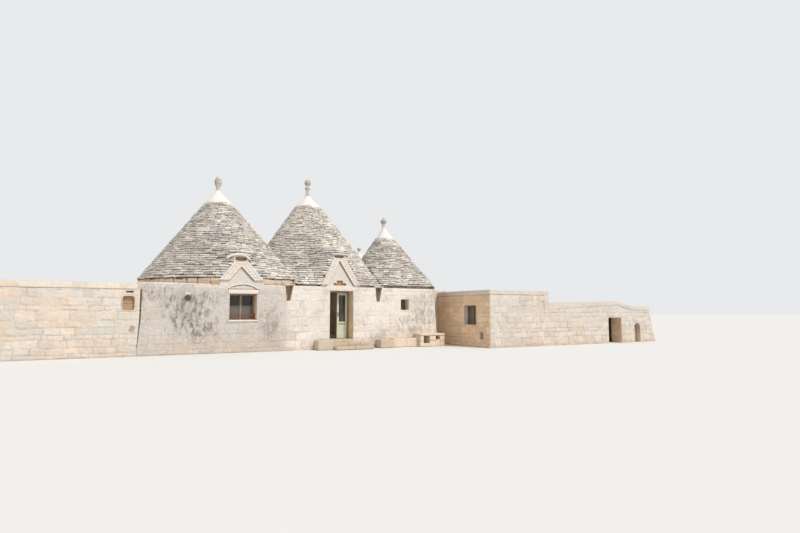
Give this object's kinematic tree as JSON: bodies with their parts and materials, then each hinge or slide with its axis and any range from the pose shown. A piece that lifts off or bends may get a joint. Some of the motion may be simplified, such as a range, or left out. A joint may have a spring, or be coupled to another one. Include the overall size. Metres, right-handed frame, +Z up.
{
  "type": "trullo house",
  "caption": "Dry-stone trullo house: limewashed walls under conical stone roofs with plastered caps and pinnacles, gabled door and window, low flat-roofed wings.",
  "frame": {"origin": "on the ground, under the middle of the door, in the plane of the front walls", "axes": "+X to the right along the front, +Y into the house, +Z up"},
  "size_m": [29.58, 11.8299, 7.782],
  "materials": {
    "limewashed_wall": "matt limewash, worn and stained with grey lichen",
    "roof_stone": "rough dry-laid limestone slabs",
    "lime_plaster": "smooth matt lime plaster",
    "cut_stone": "dressed limestone",
    "pinnacle_stone": "carved, weathered limestone",
    "rough_stone": "rough squared limestone",
    "annex_stone": "coursed limestone blocks with thin limewash",
    "wing_stone": "coursed limestone blocks with thin limewash",
    "lime_roof": "flat lime-screed roof",
    "floor_stone": "limestone paving slabs",
    "green_paint": "painted softwood, pale sage green, worn",
    "brown_wood": "stained wood",
    "window_glass": "clear window glass"
  },
  "bodies": {
    "house": {"front_wall_a": "limewashed_wall", "rear_walls_a": "limewashed_wall", "party_wall_ab": "limewashed_wall", "front_wall_b_left": "limewashed_wall", "front_wall_b_right": "limewashed_wall", "back_wall_b": "limewashed_wall", "party_wall_bc": "limewashed_wall", "front_wall_c": "limewashed_wall", "side_wall_c": "limewashed_wall", "party_wall_cd": "limewashed_wall", "rear_walls_d": "limewashed_wall", "roof_a": "roof_stone", "roof_b": "roof_stone", "roof_c": "roof_stone", "roof_d": "roof_stone", "plaster_caps": "lime_plaster", "pinnacle_a": "pinnacle_stone", "pinnacle_b": "pinnacle_stone", "pinnacle_c": "pinnacle_stone", "pinnacle_d": "pinnacle_stone", "window_gable": "cut_stone", "door_gable": "cut_stone", "gable_slabs": "cut_stone", "window_lintel": "cut_stone", "window_sill": "cut_stone", "door_lintel": "cut_stone", "threshold": "rough_stone", "door_steps": "rough_stone", "bench": "rough_stone", "house_floors": "floor_stone", "window_frame": "green_paint", "small_window": "brown_wood", "window_guard": "brown_wood", "window_glass": "window_glass", "door_frame": "green_paint", "annex_walls": "annex_stone", "annex_roof": "lime_roof", "wing_side_wall": "wing_stone", "wing_front_wall": "wing_stone", "wing_rear_walls": "wing_stone", "wing_window": "green_paint", "wing_roof": "lime_roof"},
    "left_leaf": {"door_leaf_left": "green_paint", "door_glass_left": "window_glass"},
    "right_leaf": {"door_leaf_right": "green_paint", "door_glass_right": "window_glass"}
  },
  "joints": [
    {"name": "left_leaf_hinge", "type": "hinge", "parent": "house", "child": "left_leaf", "pos_m": [-0.465, 0.5513, 0.4], "axis": [0, 0, 1], "range_deg": [-90, 10]},
    {"name": "right_leaf_hinge", "type": "hinge", "parent": "house", "child": "right_leaf", "pos_m": [0.465, 0.5513, 0.4], "axis": [0, 0, -1], "range_deg": [0, 100]}
  ]
}
